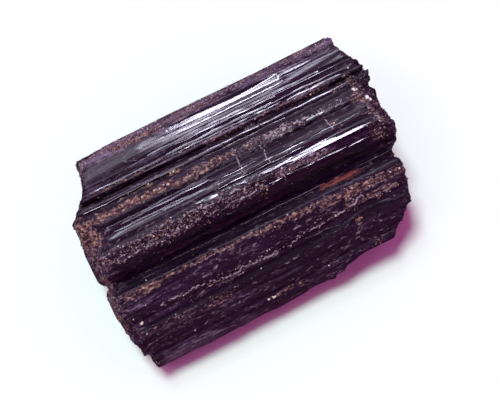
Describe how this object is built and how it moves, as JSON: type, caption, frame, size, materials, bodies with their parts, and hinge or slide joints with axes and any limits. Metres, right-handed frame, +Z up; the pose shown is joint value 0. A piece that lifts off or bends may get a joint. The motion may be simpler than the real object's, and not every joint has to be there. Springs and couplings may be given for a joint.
{
  "type": "tourmaline crystal",
  "caption": "Stubby black tourmaline crystal, ribbed lengthwise, with a deep groove between its grown-together prisms and rough broken ends, lying on its side.",
  "frame": {"origin": "centre of the underside, on the surface that the crystal lies on", "axes": "+X along the crystal's own long axis, towards the end with the cut front corner; +Y towards the high rear prism; +Z up"},
  "size_m": [0.0498, 0.032, 0.0252],
  "materials": {
    "schorl": "glossy black with a violet cast, striated lengthwise, with dull brown crust in the hollows"
  },
  "bodies": {
    "root": {"tourmaline_crystal": "schorl"}
  },
  "joints": []
}
